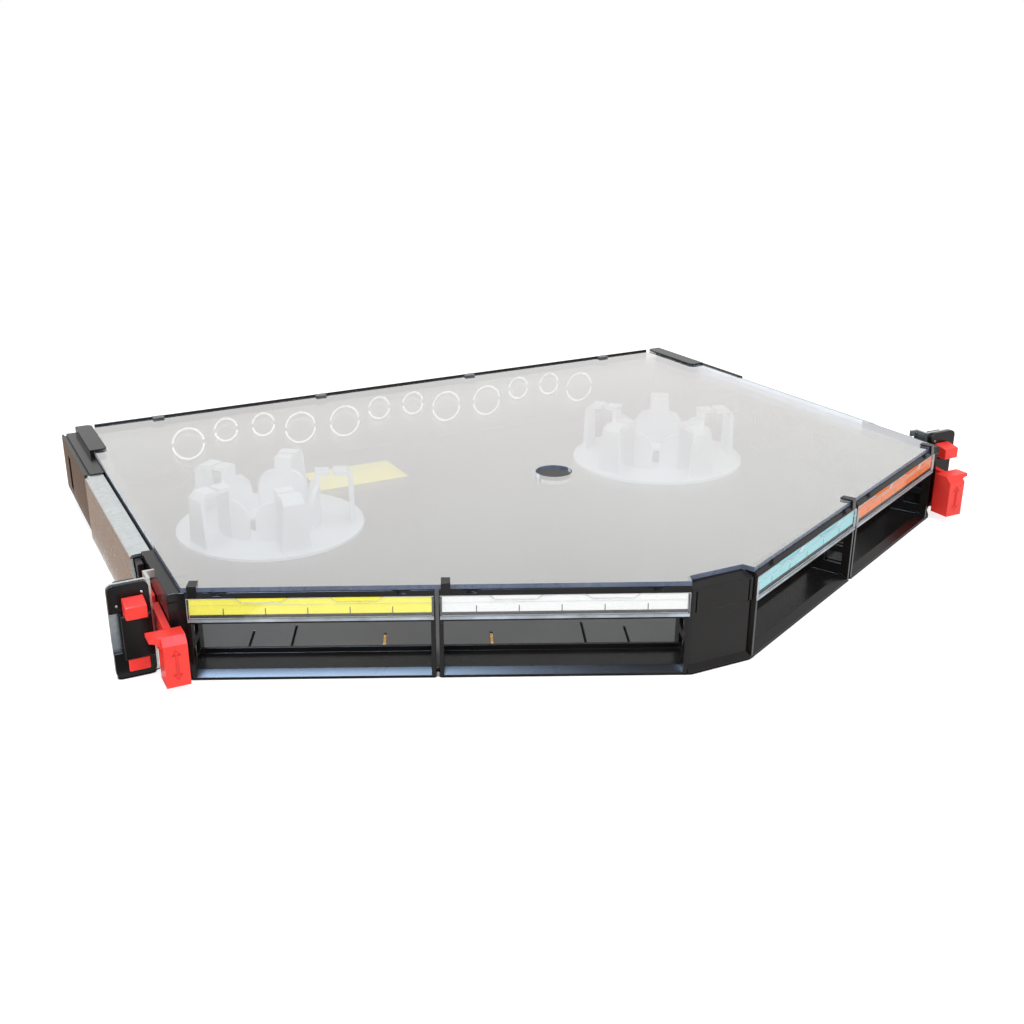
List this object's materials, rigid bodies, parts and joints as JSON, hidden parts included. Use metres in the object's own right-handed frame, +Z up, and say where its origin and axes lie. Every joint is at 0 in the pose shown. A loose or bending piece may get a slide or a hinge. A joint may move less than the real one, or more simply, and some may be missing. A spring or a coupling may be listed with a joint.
{
  "type": "rack fibre patch panel",
  "caption": "Sliding one-unit rack patch panel for fibre: V-shaped front with open bays and label strips, clear cover over spools, red side latches and quick-fix rack clips.",
  "frame": {"origin": "bottom centre of the whole unit, with the drawer closed", "axes": "+X to the right seen from the front, +Y to the rear, +Z up; the V front faces -Y"},
  "size_m": [0.4826, 0.36, 0.044],
  "materials": {
    "black_plastic": "satin moulded",
    "black_steel": "satin powder coat",
    "galvanised": "galvanised",
    "red_plastic": "moulded",
    "clear_plastic": "clear, polished",
    "white_plastic": "moulded",
    "brass": "bright",
    "label_yellow": "paper",
    "label_white": "paper",
    "label_cyan": "paper",
    "label_orange": "paper"
  },
  "bodies": {
    "rails": {"left_rail": "galvanised", "right_rail": "galvanised", "left_clip_housing": "black_plastic", "right_clip_housing": "black_plastic", "left_guide_block": "black_plastic", "right_guide_block": "black_plastic"},
    "drawer": {"nose_cover": "black_plastic", "bay_frame_1": "black_plastic", "bay_frame_2": "black_plastic", "bay_frame_3": "black_plastic", "bay_frame_4": "black_plastic", "left_end_cap": "black_plastic", "right_end_cap": "black_plastic", "left_runner": "black_plastic", "right_runner": "black_plastic", "tray": "black_steel", "left_latch_pin": "galvanised", "left_spool": "white_plastic", "right_latch_pin": "galvanised", "right_spool": "white_plastic", "top_cover": "clear_plastic", "label_cover_1": "clear_plastic", "label_cover_2": "clear_plastic", "label_cover_3": "clear_plastic", "label_cover_4": "clear_plastic", "label_1": "label_yellow", "label_2": "label_white", "label_3": "label_cyan", "label_4": "label_orange", "sticker": "label_yellow", "floor_inserts": "brass"},
    "left_latch": {"left_latch": "red_plastic"},
    "right_latch": {"right_latch": "red_plastic"},
    "left_clip": {"left_clip": "red_plastic"},
    "right_clip": {"right_clip": "red_plastic"}
  },
  "joints": [
    {"name": "drawer_slide", "type": "slide", "parent": "rails", "child": "drawer", "axis": [0, -1, 0], "range_m": [0, 0.15]},
    {"name": "left_latch_pivot", "type": "hinge", "parent": "drawer", "child": "left_latch", "pos_m": [-0.22, -0.04995, 0.019], "axis": [-1, 0, 0], "range_deg": [-4, 6], "stiffness_Nm_per_rad": 0.6},
    {"name": "right_latch_pivot", "type": "hinge", "parent": "drawer", "child": "right_latch", "pos_m": [0.22, -0.04995, 0.019], "axis": [-1, 0, 0], "range_deg": [-4, 6], "stiffness_Nm_per_rad": 0.6},
    {"name": "left_clip_slide", "type": "slide", "parent": "rails", "child": "left_clip", "axis": [0, 0, 1], "range_m": [0, 0.003]},
    {"name": "right_clip_slide", "type": "slide", "parent": "rails", "child": "right_clip", "axis": [0, 0, 1], "range_m": [0, 0.003]}
  ]
}
